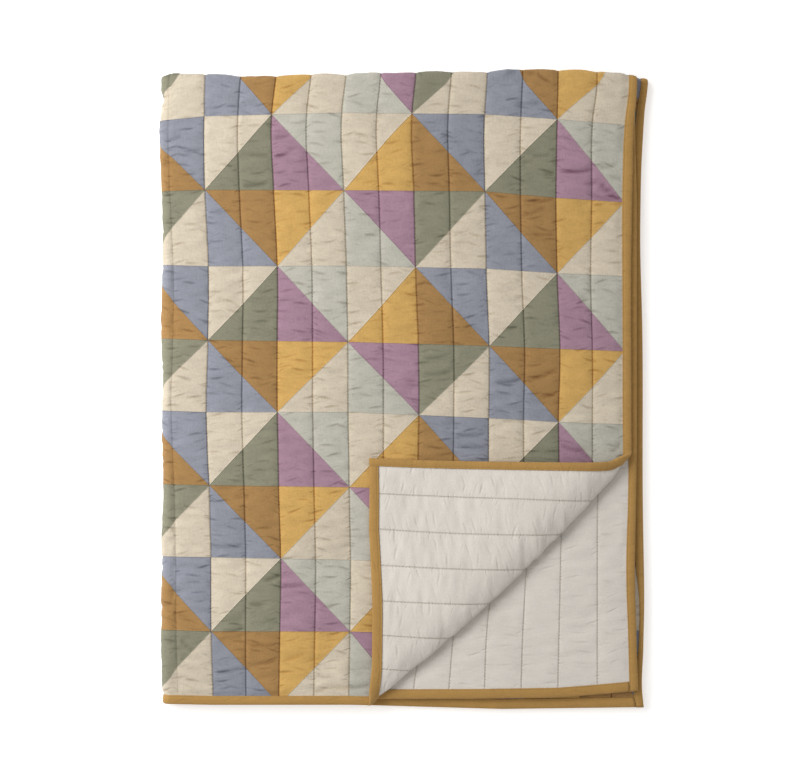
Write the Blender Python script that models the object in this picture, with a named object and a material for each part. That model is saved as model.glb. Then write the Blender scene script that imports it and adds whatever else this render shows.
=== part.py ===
"""A patchwork quilt, folded in four, with the front layer's corner turned back.

The quilt is sewn flat and then folded. In the flat quilt x runs across from the side fold,
y runs along from the top fold, and w runs through the cloth, towards the patchwork.
Each piece is a flat solid that is cut along the fold lines and then bent round them:
first the corner is rolled over the front, then the top fold puts the head half underneath,
then the side fold puts the left half under both.
"""
import math

import bmesh
import bpy
import numpy as np
from mathutils import Vector

COLLECTION_NAME = "patchwork_quilt"

# Patches and quilting (metres)
ROW_PITCH = 0.100            # one patch, along the quilt
FRONT_COLUMN = 0.0955        # one patch across, on the half that lies in front
BACK_COLUMN = 0.0860         # one patch across, on the half folded beneath
FRONT_COLUMNS = 6            # whole columns right of the first seam
BACK_COLUMNS = 7             # whole columns left of the folded column
ROWS_EACH_WAY = 8            # whole rows each side of the folded row
FIRST_SEAM = 0.0600          # side fold to the first column seam
FOOT_SEAM = 0.0535           # top fold to the first row seam, on the front
SIDE_ALLOWANCE = 0.010       # cloth past the last column seam
END_ALLOWANCE = 0.001        # cloth past the last row seam

# The cloth's section, as heights through it
FACE_STITCHED = 0.0010       # patchwork side at a stitch line
FACE_CROWN = 0.0026          # patchwork side on a channel
BACK_START = -0.0003         # backing, inner side
BACK_STITCHED = -0.0013      # backing, outer side at a stitch line
BACK_CROWN = -0.0019         # backing, outer side on a channel
SHOULDER = 0.28              # share of a channel that slopes, at each side
RAMP = 0.009                 # slope from the binding up to the channels

# The binding
BINDING_WIDTH = 0.0125
BINDING_WALL = 0.0010
CLEARANCE = 0.0003
RAW_EDGE_GAP = 0.0020        # the cloth's raw edge stops this far short of the binding's fold
BINDING_ROUND = 0.0008
ROW_CLEARANCE = 0.050        # a cross division this near an end is left out
NEAR = 1e-6                  # two places this close are the same

# The folds
TOP_RADIUS = 0.0030          # front layer over the one beneath it
INNER_RADIUS = 0.0035        # side fold, its inner two layers
OUTER_RADIUS = INNER_RADIUS + 2 * TOP_RADIUS
SIDE_RADIUS = (INNER_RADIUS + OUTER_RADIUS) / 2
ARC_STEPS = 4
LEVEL = 0.99                 # how upright the normal of a nearly level face is
FLAT_ANGLE = math.radians(0.1)
FLOOR_PRESS = 0.0005         # how far the lowest channels are pressed flat

# The turned-back corner: its edge is a shallow bow across the front layer's diagonal
CREASE_REACH = 0.8224        # corner to crease edge, measured square to it from the fold corner
CREASE_MIDDLE = -0.0878      # where the bow is deepest, along the crease
CREASE_BOW = 0.207           # bow, per metre
CREASE_FOOT = -0.390         # the crease's end at the foot edge
CREASE_SIDE = 0.085          # the crease's end at the side edge
ROLL_RADIUS = 0.0060
FLAP_HEIGHT = 0.0070         # flap over the front layer, once it has settled
FLAP_SETTLE = 0.075          # how far from the crease it settles
SETTLE_CUTS = (0.0, 0.3, 0.65, 1.0)

FIRST_BACK_SEAM = FRONT_COLUMN - FIRST_SEAM
RIGHT_EDGE = FIRST_SEAM + FRONT_COLUMNS * FRONT_COLUMN + SIDE_ALLOWANCE
LEFT_EDGE = -(FIRST_BACK_SEAM + BACK_COLUMNS * BACK_COLUMN + SIDE_ALLOWANCE)
FOOT_EDGE = -(FOOT_SEAM + ROWS_EACH_WAY * ROW_PITCH + END_ALLOWANCE)
HEAD_EDGE = (ROW_PITCH - FOOT_SEAM) + ROWS_EACH_WAY * ROW_PITCH + END_ALLOWANCE

# How the cloth has drifted from square as it was laid, in millimetres, at places along the quilt,
# and how far each layer slips round the side fold, where all of them share one arc length.
# The slides move it across: at the left edge, over the front and at the right edge.
# The dips move it along: on the left half, at the first seam, and at columns 2, 4, 5 and the edge.
DRIFT_COLUMNS = ("along", "left", "front", "right", "dip_left", "dip_0", "dip_2", "dip_4", "dip_5", "dip_edge")
DRIFT = (
    (0.850, -6.7, -4.3, 3.3, 6.4, -1.0, -2.0, -3.0, -7.0, -13.0),
    (0.600, -7.0, 0.7, 1.7, 5.0, -1.0, -2.0, -3.0, -7.0, -13.0),
    (0.350, -2.9, 2.7, 1.3, 3.0, -1.0, -1.0, -2.0, -7.0, -13.0),
    (0.200, 0.8, 2.7, 1.3, 1.0, -1.0, 0.0, -1.0, -6.0, -13.0),
    (0.050, -7.7, 2.7, 1.3, 0.0, -1.0, 0.0, -1.0, -6.0, -13.0),
    (0.000, -11.0, -2.0, 0.0, 0.0, -1.0, 0.0, -1.0, -6.0, -13.0),
    (-0.055, 1.7, -7.0, -1.7, 0.0, -2.0, 2.7, 0.7, -6.0, -15.0),
    (-0.155, 4.7, -4.4, -4.7, 0.0, -2.0, -2.7, -4.0, -13.0, -19.7),
    (-0.355, 4.7, 0.8, -6.7, 0.0, -6.0, -8.8, -14.0, -18.4, -21.8),
    (-0.555, 4.7, 2.4, -3.7, -2.0, -3.4, -6.0, -12.0, -19.0, -23.0),
    (-0.855, 4.7, 3.9, -0.3, -4.8, 0.0, 0.0, -12.0, -23.5, -31.0),
)
MILLIMETRE = 0.001
DIP_SPREAD = -0.20           # the left half's dip holds from here leftwards

COLOURS = {
    "patchwork": (0.42, 0.38, 0.34, 1.0),
    "backing": (0.71, 0.67, 0.61, 1.0),
    "binding": (0.51, 0.30, 0.07, 1.0),
}
CLOTH_ROUGHNESS = 0.9


def clear_scene():
    for old in list(bpy.data.objects):
        bpy.data.objects.remove(old)


def cotton(name):
    material = bpy.data.materials.new(name)
    material.use_nodes = True
    shader = material.node_tree.nodes["Principled BSDF"]
    shader.inputs["Base Color"].default_value = COLOURS[name]
    shader.inputs["Roughness"].default_value = CLOTH_ROUGHNESS
    shader.inputs["Metallic"].default_value = 0.0
    return material


def drift(x, y):
    """Where a point of the square flat quilt lies once the cloth has been laid out."""
    rows = sorted(DRIFT)
    along = [row[0] for row in rows]
    here = {}
    for number, name in enumerate(DRIFT_COLUMNS):
        here[name] = np.interp(y, along, [row[number] for row in rows])
    seam = [FIRST_SEAM + count * FRONT_COLUMN for count in range(FRONT_COLUMNS)]
    slide_at = (LEFT_EDGE, 0.0, seam[5], RIGHT_EDGE)
    slides = (here["left"], here["front"], here["front"], here["right"])
    dip_at = (DIP_SPREAD, seam[0], seam[2], seam[4], seam[5], RIGHT_EDGE)
    dips = [here[name] for name in DRIFT_COLUMNS[4:]]
    slide = np.interp(x, slide_at, slides)
    dip = np.interp(x, dip_at, dips)
    return x + slide * MILLIMETRE, y + dip * MILLIMETRE


# ---- folding -------------------------------------------------------------------------------

def crease_start(along):
    """Where the corner starts to lift, at a place along the crease."""
    place = min(max(along, CREASE_FOOT), CREASE_SIDE)
    return CREASE_REACH - CREASE_BOW * (place - CREASE_MIDDLE) ** 2 - ROLL_RADIUS + BACK_CROWN


def chart(x, y):
    """A point of the laid-out quilt, measured along the crease and out from it.

    A straight cut in these coordinates follows the bowed crease.
    """
    along = (x + y) * math.sqrt(0.5)
    return along, (x - y) * math.sqrt(0.5) - crease_start(along)


def facet(angle):
    """Sine and cosine round a half turn that is made of flat facets."""
    step = math.pi / ARC_STEPS
    count = min(int(angle / step), ARC_STEPS - 1)
    share = angle / step - count
    sine = (1 - share) * math.sin(count * step) + share * math.sin((count + 1) * step)
    cosine = (1 - share) * math.cos(count * step) + share * math.cos((count + 1) * step)
    return sine, cosine


def settled(beyond):
    """The flap past its roll: how high it lies, and the normal's lean and rise."""
    drop = 2 * ROLL_RADIUS - FLAP_HEIGHT
    heights = [2 * ROLL_RADIUS - drop * share * share * (3 - 2 * share) for share in SETTLE_CUTS]
    slopes = [6 * drop * share * (1 - share) / FLAP_SETTLE for share in SETTLE_CUTS]
    share = beyond / FLAP_SETTLE
    return float(np.interp(share, SETTLE_CUTS, heights)), float(np.interp(share, SETTLE_CUTS, slopes)), -1.0


def turn_corner(along, reach):
    """Roll the foot corner of the front layer up and over; gives a mid-surface point and its normal."""
    out = crease_start(along)
    height, lean, rise = 0.0, 0.0, 1.0
    if reach <= 0:
        out += reach
    elif reach < math.pi * ROLL_RADIUS:
        sine, cosine = facet(reach / ROLL_RADIUS)
        out += ROLL_RADIUS * sine
        height, lean, rise = ROLL_RADIUS - ROLL_RADIUS * cosine, -sine, cosine
    else:
        beyond = reach - math.pi * ROLL_RADIUS
        out -= beyond
        height, lean, rise = settled(beyond)
    point = Vector(((along + out) * math.sqrt(0.5), (along - out) * math.sqrt(0.5), height))
    return point, Vector((lean * math.sqrt(0.5), -lean * math.sqrt(0.5), rise))


def fold_top(point, normal):
    """Bend what lies past the top fold down and back under the front layer."""
    quarter = TOP_RADIUS * math.pi / 2
    reach = point.y + quarter
    if reach <= 0:
        return point, normal
    sine, cosine = facet(min(reach / TOP_RADIUS, math.pi))
    beyond = max(reach - 2 * quarter, 0.0)
    bent = Vector((point.x, TOP_RADIUS * sine - quarter - beyond, TOP_RADIUS * (cosine - 1)))
    return bent, Vector((0.0, sine, cosine))


def fold_side(point, normal):
    """Bend the left half down and under, each layer at its own radius."""
    axis = -OUTER_RADIUS
    radius = point.z - axis
    quarter = SIDE_RADIUS * math.pi / 2
    reach = quarter - point.x
    if reach <= 0:
        return Vector((point.x - quarter, point.y, point.z)), normal
    sine, cosine = facet(min(reach / SIDE_RADIUS, math.pi))
    beyond = max(reach - 2 * quarter, 0.0)
    bent = Vector((beyond - radius * sine, point.y, axis + radius * cosine))
    turned = Vector((
        normal.x * cosine - normal.z * sine,
        normal.y,
        normal.z * cosine + normal.x * sine,
    ))
    return bent, turned


def folded(flat):
    """The folded place of a point of the laid-out flat quilt, given in the crease's chart."""
    point, normal = turn_corner(flat.x, flat.y)
    point, normal = fold_top(point, normal)
    point, normal = fold_side(point, normal)
    return point + flat.z * normal


# ---- the flat pieces -----------------------------------------------------------------------

def stitch_lines():
    """Quilting lines down the length: in every column seam and down the middle of every patch."""
    front = [FIRST_SEAM + half * FRONT_COLUMN / 2 for half in range(-2, 2 * FRONT_COLUMNS + 1)]
    back = [-FIRST_BACK_SEAM - half * BACK_COLUMN / 2 for half in range(1, 2 * BACK_COLUMNS + 1)]
    return sorted(back + front)


def crown(x, y):
    """How far a channel is raised here: 0 at a stitch line or under the binding, 1 on its crown."""
    lines = stitch_lines()
    left = max([line for line in lines if line <= x + NEAR], default=LEFT_EDGE)
    right = min([line for line in lines if line > x + NEAR], default=RIGHT_EDGE)
    share = (x - left) / (right - left)
    side = min(share, 1 - share) / SHOULDER
    inset = min(RIGHT_EDGE - x, x - LEFT_EDGE, HEAD_EDGE - y, y - FOOT_EDGE) - BINDING_WIDTH
    return max(0.0, min(1.0, side, inset / RAMP))


def grid_lines():
    """Where the flat sheet is divided across and along."""
    inner_left = LEFT_EDGE + BINDING_WIDTH
    inner_right = RIGHT_EDGE - BINDING_WIDTH
    edge = BINDING_WALL + RAW_EDGE_GAP
    across = [LEFT_EDGE + edge, inner_left, inner_left + RAMP, inner_right - RAMP, inner_right, RIGHT_EDGE - edge]
    lines = stitch_lines()
    for left, right in zip(lines, lines[1:]):
        for place in (left, left + SHOULDER * (right - left), right - SHOULDER * (right - left)):
            if inner_left + RAMP < place < inner_right - RAMP:
                across.append(place)
    along = [FOOT_EDGE + edge, HEAD_EDGE - edge]
    for inset in (BINDING_WIDTH, BINDING_WIDTH + RAMP):
        along += [FOOT_EDGE + inset, HEAD_EDGE - inset]
    foot, head = FOOT_EDGE + ROW_CLEARANCE, HEAD_EDGE - ROW_CLEARANCE
    along += [row[0] for row in DRIFT if foot < row[0] < head]
    return sorted(across), sorted(along)


def flat_sheet(outer_side, inner_side):
    """A flat closed sheet: outer_side(x, y) and inner_side are its heights through the quilt."""
    across, along = grid_lines()
    bm = bmesh.new()
    columns, rows = len(across) - 1, len(along) - 1
    bmesh.ops.create_grid(bm, x_segments=columns, y_segments=rows, size=1.0)
    for vert in bm.verts:
        column = round((vert.co.x + 1) / 2 * columns)
        row = round((vert.co.y + 1) / 2 * rows)
        vert.co = (across[column], along[row], inner_side)
    grown = bmesh.ops.extrude_face_region(bm, geom=bm.faces[:], use_keep_orig=True)
    for vert in grown["geom"]:
        if isinstance(vert, bmesh.types.BMVert):
            vert.co.z = outer_side(vert.co.x, vert.co.y)
    bmesh.ops.recalc_face_normals(bm, faces=bm.faces[:])
    return bm


def binding_section():
    """Half the binding wraps each side of the edge: (distance in from the edge, height)."""
    low = BACK_STITCHED - CLEARANCE - BINDING_WALL
    high = FACE_STITCHED + CLEARANCE + BINDING_WALL
    slot_low = low + BINDING_WALL
    slot_high = high - BINDING_WALL
    return (
        (BINDING_WIDTH, slot_high),
        (BINDING_WIDTH, high - BINDING_ROUND / 2),
        (BINDING_WIDTH - BINDING_ROUND, high),
        (BINDING_ROUND, high),
        (0.0, high - BINDING_ROUND),
        (0.0, low + BINDING_ROUND),
        (BINDING_ROUND, low),
        (BINDING_WIDTH - BINDING_ROUND, low),
        (BINDING_WIDTH, low + BINDING_ROUND / 2),
        (BINDING_WIDTH, slot_low),
        (BINDING_WALL, slot_low),
        (BINDING_WALL, slot_high),
    )


def flat_strip(place, stations):
    """A binding strip: its section is drawn at the first station and extruded to the others."""
    bm = bmesh.new()
    ring = [bm.verts.new(place(inset, height, stations[0])) for inset, height in binding_section()]
    edges = [bm.edges.new((vert, ring[number - 1])) for number, vert in enumerate(ring)]
    bmesh.ops.triangle_fill(bm, edges=edges, use_beauty=True)
    for before, station in zip(stations, stations[1:]):
        grown = bmesh.ops.extrude_edge_only(bm, edges=edges)["geom"]
        verts = [part for part in grown if isinstance(part, bmesh.types.BMVert)]
        edges = [part for part in grown if isinstance(part, bmesh.types.BMEdge)]
        edges = [edge for edge in edges if edge.verts[0] in verts and edge.verts[1] in verts]
        bmesh.ops.translate(bm, verts=verts, vec=place(0.0, 0.0, station) - place(0.0, 0.0, before))
    bmesh.ops.triangle_fill(bm, edges=edges, use_beauty=True)
    bmesh.ops.recalc_face_normals(bm, faces=bm.faces[:])
    return bm


def cut(bm, axis, place):
    """Divide the flat piece's faces along one line across it."""
    line = Vector((0.0, 0.0, 0.0))
    line[axis] = 1.0
    geometry = bm.verts[:] + bm.edges[:] + bm.faces[:]
    bmesh.ops.bisect_plane(bm, geom=geometry, dist=NEAR, plane_co=line * place, plane_no=line)


def fold_piece(bm):
    """Lay the flat piece out with its drift, cut it along every fold line and bend it."""
    for vert in bm.verts:
        vert.co.x, vert.co.y = drift(vert.co.x, vert.co.y)
    for step in range(ARC_STEPS + 1):
        share = (step / ARC_STEPS - 0.5) * math.pi
        cut(bm, 1, TOP_RADIUS * share)
        cut(bm, 0, SIDE_RADIUS * share)
    for vert in bm.verts:
        vert.co.x, vert.co.y = chart(vert.co.x, vert.co.y)
    for step in range(ARC_STEPS + 1):
        cut(bm, 1, math.pi * ROLL_RADIUS * step / ARC_STEPS)
    for share in SETTLE_CUTS[1:]:
        cut(bm, 1, math.pi * ROLL_RADIUS + FLAP_SETTLE * share)
    for vert in bm.verts:
        vert.co = folded(vert.co)


def place_on_ground(bm, corner):
    """Shift a folded piece to the origin, and press it flat where it would sink below the ground."""
    for vert in bm.verts:
        vert.co -= corner
        vert.co.z = max(vert.co.z, 0.0)


def merge_level_faces(bm):
    """Merge neighbouring faces where the cloth lies level, and leave the bends as they are."""
    bm.normal_update()
    level = {face for face in bm.faces if abs(face.normal.z) > LEVEL}
    verts = [vert for vert in bm.verts if level.issuperset(vert.link_faces)]
    edges = [edge for edge in bm.edges if level.issuperset(edge.link_faces)]
    bmesh.ops.dissolve_limit(bm, angle_limit=FLAT_ANGLE, verts=verts, edges=edges)


def add_piece(name, bm, material, collection):
    merge_level_faces(bm)
    bmesh.ops.triangulate(bm, faces=bm.faces[:])
    mesh = bpy.data.meshes.new(name)
    bm.to_mesh(mesh)
    bm.free()
    mesh.materials.append(material)
    piece = bpy.data.objects.new(name, mesh)
    collection.objects.link(piece)
    return piece


# ---- the pieces ----------------------------------------------------------------------------

def patchwork_sheet():
    def height(x, y):
        return FACE_STITCHED + (FACE_CROWN - FACE_STITCHED) * crown(x, y)
    return flat_sheet(height, 0.0)


def backing_sheet():
    def height(x, y):
        return BACK_STITCHED + (BACK_CROWN - BACK_STITCHED) * crown(x, y)
    return flat_sheet(height, BACK_START)


def side_binding(edge, inward):
    """A long strip down one side, from head to foot."""
    stations = sorted({FOOT_EDGE, HEAD_EDGE} | {row[0] for row in DRIFT if FOOT_EDGE < row[0] < HEAD_EDGE})
    return flat_strip(lambda inset, height, along: Vector((edge + inward * inset, along, height)), stations)


def end_binding(edge, inward):
    """A short strip across one end, between the two side strips."""
    left = LEFT_EDGE + BINDING_WIDTH + CLEARANCE
    right = RIGHT_EDGE - BINDING_WIDTH - CLEARANCE
    stations = sorted([left, DIP_SPREAD, 0.0, right] + [line for line in stitch_lines() if left < line < right])
    return flat_strip(lambda inset, height, across: Vector((across, edge + inward * inset, height)), stations)


def build():
    clear_scene()
    collection = bpy.data.collections.new(COLLECTION_NAME)
    bpy.context.scene.collection.children.link(collection)
    pieces = {
        "quilted_patchwork": (patchwork_sheet(), "patchwork"),
        "backing": (backing_sheet(), "backing"),
        "binding_right": (side_binding(RIGHT_EDGE, -1), "binding"),
        "binding_left": (side_binding(LEFT_EDGE, 1), "binding"),
        "binding_foot": (end_binding(FOOT_EDGE, 1), "binding"),
        "binding_head": (end_binding(HEAD_EDGE, -1), "binding"),
    }
    for bm, _ in pieces.values():
        fold_piece(bm)
    points = [vert.co for bm, _ in pieces.values() for vert in bm.verts]
    low = Vector([min(point[axis] for point in points) for axis in range(3)])
    high = Vector([max(point[axis] for point in points) for axis in range(3)])
    corner = Vector(((low.x + high.x) / 2, (low.y + high.y) / 2, low.z + FLOOR_PRESS))
    materials = {name: cotton(name) for name in COLOURS}
    for name, (bm, finish) in pieces.items():
        place_on_ground(bm, corner)
        add_piece(name, bm, materials[finish], collection)


build()
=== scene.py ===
import math

import bmesh
import bpy
import numpy as np
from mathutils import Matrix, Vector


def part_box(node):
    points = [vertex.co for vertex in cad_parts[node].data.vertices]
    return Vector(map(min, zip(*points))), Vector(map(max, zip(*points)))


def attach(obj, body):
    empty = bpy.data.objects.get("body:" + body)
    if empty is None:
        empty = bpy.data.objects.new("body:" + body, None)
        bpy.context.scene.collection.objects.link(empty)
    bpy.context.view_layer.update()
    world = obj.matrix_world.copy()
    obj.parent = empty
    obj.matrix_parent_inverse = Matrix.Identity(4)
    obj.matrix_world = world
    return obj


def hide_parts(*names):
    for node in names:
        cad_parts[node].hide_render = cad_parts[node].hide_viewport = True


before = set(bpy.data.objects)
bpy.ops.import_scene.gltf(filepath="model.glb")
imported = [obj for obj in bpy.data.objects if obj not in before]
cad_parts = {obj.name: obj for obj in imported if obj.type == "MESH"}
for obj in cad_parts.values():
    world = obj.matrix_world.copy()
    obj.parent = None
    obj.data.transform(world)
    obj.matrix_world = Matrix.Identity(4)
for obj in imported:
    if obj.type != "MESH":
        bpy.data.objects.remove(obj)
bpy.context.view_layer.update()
print("frame loaded:", len(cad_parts), "nodes")

mm = 0.001
tiny = 1e-6
nearby = 1e-5
rootHalf = math.sqrt(0.5)  # turns x and y to the crease's own directions
bindingWidth = 0.0125
sheetInset = 0.0040  # from the binding's outer edge to the sheets' own

# The quilt as it is sewn, flat: x across from the side fold, y along from the top fold.
quilt = {
    "rowPitch": 0.100,  # one patch along the quilt
    "frontColumn": 0.0955,  # one patch across, drawn in by the quilting
    "backColumn": 0.08743,  # the same on the half folded beneath
    "frontColumns": 6,
    "backColumns": 7,
    "rowsEachWay": 8,
    "firstSeam": 0.0600,  # side fold to the first column seam
    "footSeam": 0.0535,  # top fold to the first row seam
    "sideAllowance": 0.010,
    "endAllowance": 0.001,
}
firstBackSeam = quilt["frontColumn"] - quilt["firstSeam"]
firstHeadSeam = quilt["rowPitch"] - quilt["footSeam"]
rightEdge = quilt["firstSeam"] + quilt["frontColumns"] * quilt["frontColumn"] + quilt["sideAllowance"]
leftEdge = -(firstBackSeam + quilt["backColumns"] * quilt["backColumn"])
footEdge = -(quilt["footSeam"] + quilt["rowsEachWay"] * quilt["rowPitch"] + quilt["endAllowance"])
headEdge = firstHeadSeam + quilt["rowsEachWay"] * quilt["rowPitch"] + quilt["endAllowance"]

folds = {
    "top": 0.0030,  # radius where the front turns under at the top
    "inner": 0.0035,  # radii of the side fold, inner and outer layers
    "outer": 0.0095,
    "tuck": 0.006,  # cloth gathered up on the side fold
    "tuckSpan": (-0.050, -0.008, 0.012),  # where it starts, where it is whole and where it ends
    "underMiddle": -0.450,  # a place amid the half beneath
    "slipReach": 0.10,  # how far from the top fold the layers slip to their own radii
    "roll": (0.038, 0.052, 0.064),  # cloth in the turned corner's roll, at the foot, middle and side
    "rollMiddle": -0.15,  # where that middle is along the crease
    "rollTip": (0.12, 0.055),  # where the roll's tip lies in it, and how tightly it turns
    "rollBack": 0.15,  # share of the turn left to the slow rise behind the tip
    "flapHeight": 0.0070,  # the flap over the front, once it has settled
    "flapSettle": 0.13,
}

crease = {  # the turned corner's edge: a shallow bow across the front's diagonal
    "reach": 0.8224,
    "middle": -0.0878,
    "bow": 0.207,
    "foot": -0.390,
    "side": 0.085,
    "sideDrop": 0.0034,  # how far the edge bends inwards at the side, and over what length
    "sideBend": 0.050,
}

# Where the cloth has wandered from square, in mm, at places along the quilt.
# First the slides across: at the left edge, inside its binding, from the side fold to seam 0, at seams 1 to
# 5, down the middle of the last patches, inside the right binding, and at the right edge.
# Then the dips along: at the left edge, amid the half beneath, at the side fold, at seams 0, 2, 3, 4 and 5,
# and at the right edge.
driftRows = (
    (0.85, (-2.7, -4.4, -9, -10, -11, -12.3, -10, -5.4, 1, -0.9, -1.4),
     (13.2, 15.7, 3, -1, 0.8, 1.2, 0.7, -0.8, -10)),
    (0.83, (-0.4, -1.1, -8.6, -9.6, -10.5, -9.9, -9.3, -4.9, 1, -1.4, -2.1),
     (11.4, 13.7, 0, -1, -0.1, -0.5, -0.9, -2.6, -12)),
    (0.77, (-1.8, -7.4, -7.4, -8.4, -9.1, -3.5, -7, -3.6, 1, -2.9, -4),
     (9.5, 11.5, 0, -1, -0.3, -0.8, -1.2, -3, -12)),
    (0.7, (-3, -8, -6, -7, -7.4, -2.7, -2, -1.9, 1, -5.3, -5.8),
     (8, 9.3, 0, -1, -0.6, -1, -1.5, -3.4, -12)),
    (0.66, (-2.5, -3.6, -5.2, -6.2, -6.4, -3, 0, -1.2, 1, -5.2, -5.7),
     (7, 8, 0, -1, -0.8, -1.2, -1.7, -3.6, -12)),
    (0.6, (-1.4, -1.4, -4, -5, -5, -2, 0, -1, 1, -3.3, -4.4),
     (5, 6, 0, -1, -1, -1.5, -2, -4, -12)),
    (0.35, (-0.6, -0.6, -2, -2, -2, -2, -2, -2, -2.6, -3.2, -3.4),
     (3, 2.1, 0, -1, -1, -1.5, -2, -6, -13)),
    (0.2, (2.3, 2.3, -2, -2, -2, -2, -2, -2, -2.6, -3.2, -3.4),
     (1, 0.1, -2, -1, 0, -0.5, -1, -6, -13)),
    (0.05, (-4.8, -6.3, -2, -2, -2, -2, -2, -2, -2.6, -3.2, -3.4),
     (0, -3.4, -15, -1, 0, -0.5, -1, -6, -13)),
    (0, (-12.6, -15.6, -3, -2, -2.5, -3, -1.5, 0, 5.3, 3.3, 2.2),
     (0, -4, -17, -1, 0, -0.5, -1, -6, -13)),
    (-0.053, (-4.5, -4.5, -0.7, -4.5, -4.8, -5, -1.6, 1.9, 2.3, 0.6, 0.9),
     (0, -2.5, -8.2, -2, 2.7, 1.7, 0.7, -6.1, -15)),
    (-0.155, (0, 0, 1.4, -0.4, -0.7, -1, 0.1, 1.2, 2, -2.2, -0.9),
     (0, -1.2, -4, -2, -2.7, -3.4, -4.1, -12.9, -19.7)),
    (-0.26, (0, 0, 6.4, 4.6, 3, 1.4, 2.2, 3, 0.6, -2, -2.3),
     (0, -1.2, -4, -6, -5.3, -7.3, -9.4, -15.5, -19.6)),
    (-0.36, (0, 0, 5.4, 4.4, 4.8, 5.2, 6, 6.7, 3, -1.5, -2),
     (0, -1.2, -4, -6, -8.7, -11.4, -14.1, -18.2, -21.6)),
    (-0.457, (0, 0, 3.4, 4.6, 5.2, 5.8, 5.2, 4.6, 3, -1.4, -1.8),
     (0, -0.6, -1.9, -4, -3.9, -8, -12.1, -17.5, -21)),
    (-0.49, (0, 0, 4.5, 5.2, 5.8, 5.2, 5.1, 5.1, 3, -1.1, -1.8),
     (-0.6, -1, -1.9, -3.8, -4.6, -8.3, -12, -17.9, -21.6)),
    (-0.508, (0, 0, 5.1, 5.5, 6.1, 4.9, 5.1, 5.3, 2.9, -1.9, -3.7),
     (-1, -1.3, -1.9, -3.7, -5, -8.5, -12, -18.1, -22)),
    (-0.526, (0, 0, 5.8, 5.8, 6.4, 4.6, 5.1, 5.6, 2.9, -4.7, -6.8),
     (-1.3, -1.5, -1.9, -3.6, -5.3, -8.7, -12, -18.4, -22.3)),
    (-0.542, (0, 0, 6.7, 6.1, 6.6, 4.3, 5, 5.8, 2.9, -3.5, -5.2),
     (-1.7, -1.8, -1.9, -3.4, -5.7, -8.8, -12, -18.7, -22.7)),
    (-0.558, (0, 0, 7.5, 6.4, 6.8, 4, 5, 6, 2.9, -2.4, -3.8),
     (-2, -2, -1.9, -3.3, -6, -9, -12, -19, -23)),
    (-0.58, (0, 0, 7.9, 7, 7.2, 3.6, 5.2, 6.4, 4.2, -1.1, -2.6),
     (-2.2, -2, -1.5, -2.8, -5.7, -8.8, -11.8, -19.4, -23.9)),
    (-0.656, (0, 0, 9.5, 9.1, 8.5, 2, 6.1, 7.6, 8.5, 2.3, 0.6),
     (-3, -2.1, 0, -1.1, -4.6, -7.8, -11, -21, -27)),
    (-0.755, (0, 0, 10, 7.8, 7.5, -3.2, 3.5, 8.1, 11, 4.6, 2.9),
     (-4, -2.8, 0, -1.8, -2, -4.5, -10, -22.5, -29.5)),
    (-0.855, (0, 0, 12.9, 6.4, 5.9, -5.2, 0.3, 9.4, 12.4, 6.1, 4.4),
     (-4.8, -3.3, 0, -1.1, -1, -3, -12, -23.5, -28)),
)

# How the folded quilt's left and top outlines wave, in mm, at places along them.
leftWave = ((-0.406, 0.4), (-0.365, -1.4), (-0.291, -1.2), (-0.225, -0.6), (-0.189, -1.2), (-0.148, 1.2),
            (-0.073, -0.6), (0.004, 0.6), (0.097, -1.8), (0.140, -0.2), (0.212, 0.4), (0.260, -0.6),
            (0.328, -3.0), (0.380, -2.4), (0.397, 1.0), (0.416, -2.6), (0.424, -1.2), (0.430, 1.5))
topWave = ((-0.334, 10.0), (-0.325, 8.0), (-0.308, 2.8), (-0.292, 1.6), (-0.278, 1.5), (-0.181, -0.8),
           (-0.102, 1.9), (-0.084, 1.2), (-0.062, 3.2), (-0.035, 3.6), (-0.014, 2.6), (0.018, 4.6),
           (0.060, 5.8), (0.100, 4.0), (0.150, 8.4), (0.168, 8.9), (0.198, 7.1), (0.242, 7.6), (0.262, 5.8),
           (0.280, 3.1), (0.295, 2.8), (0.311, 0.4), (0.321, -1.8), (0.332, -3.6))
waveDepth = 0.014  # how far in from the outline a wave fades


# Laying out and folding work on whole arrays of points.
def throughPoints(at, places, values):  # a smooth curve through a table's values
    places, values = np.asarray(places, float), np.asarray(values, float)
    slopes = np.gradient(values, places)
    lower = np.clip(np.searchsorted(places, at) - 1, 0, len(places) - 2)
    gap = places[lower + 1] - places[lower]
    t = np.clip((at - places[lower]) / gap, 0, 1)
    rise = t * t * (3 - 2 * t)
    start = t * (1 - t) ** 2 * gap * slopes[lower]
    end = t * t * (t - 1) * gap * slopes[lower + 1]
    return values[lower] * (1 - rise) + values[lower + 1] * rise + start + end


def acrossPlaces(at, places, values):  # straight between places; each value is an array
    result = values[0].copy()
    for before, after, low, high in zip(places, places[1:], values, values[1:]):
        result += (high - low) * np.clip((at - before) / (after - before), 0, 1)
    return result


def smoothStep(t):
    t = np.clip(t, 0, 1)
    return t * t * (3 - 2 * t)


def drift(x, y):  # where the square flat quilt's points lie once it is laid out
    along, slides, dips = zip(*sorted(driftRows))
    left, leftInner, fold, *slides = (throughPoints(y, along, column) * mm for column in zip(*slides))
    dips = [throughPoints(y, along, column) * mm for column in zip(*dips)]
    seams = [quilt["firstSeam"] + count * quilt["frontColumn"] for count in range(quilt["frontColumns"])]
    lastMiddle = seams[-1] + quilt["frontColumn"] / 2
    slide = acrossPlaces(x, (leftEdge, leftEdge + bindingWidth, *folds["tuckSpan"], *seams, lastMiddle,
                             rightEdge - bindingWidth, rightEdge),
                         [left, leftInner, fold, fold + folds["tuck"], fold, fold] + slides)
    dip = acrossPlaces(x, (leftEdge, folds["underMiddle"], 0.0, seams[0], *seams[2:], rightEdge), dips)
    return x + slide, y + dip


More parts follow.
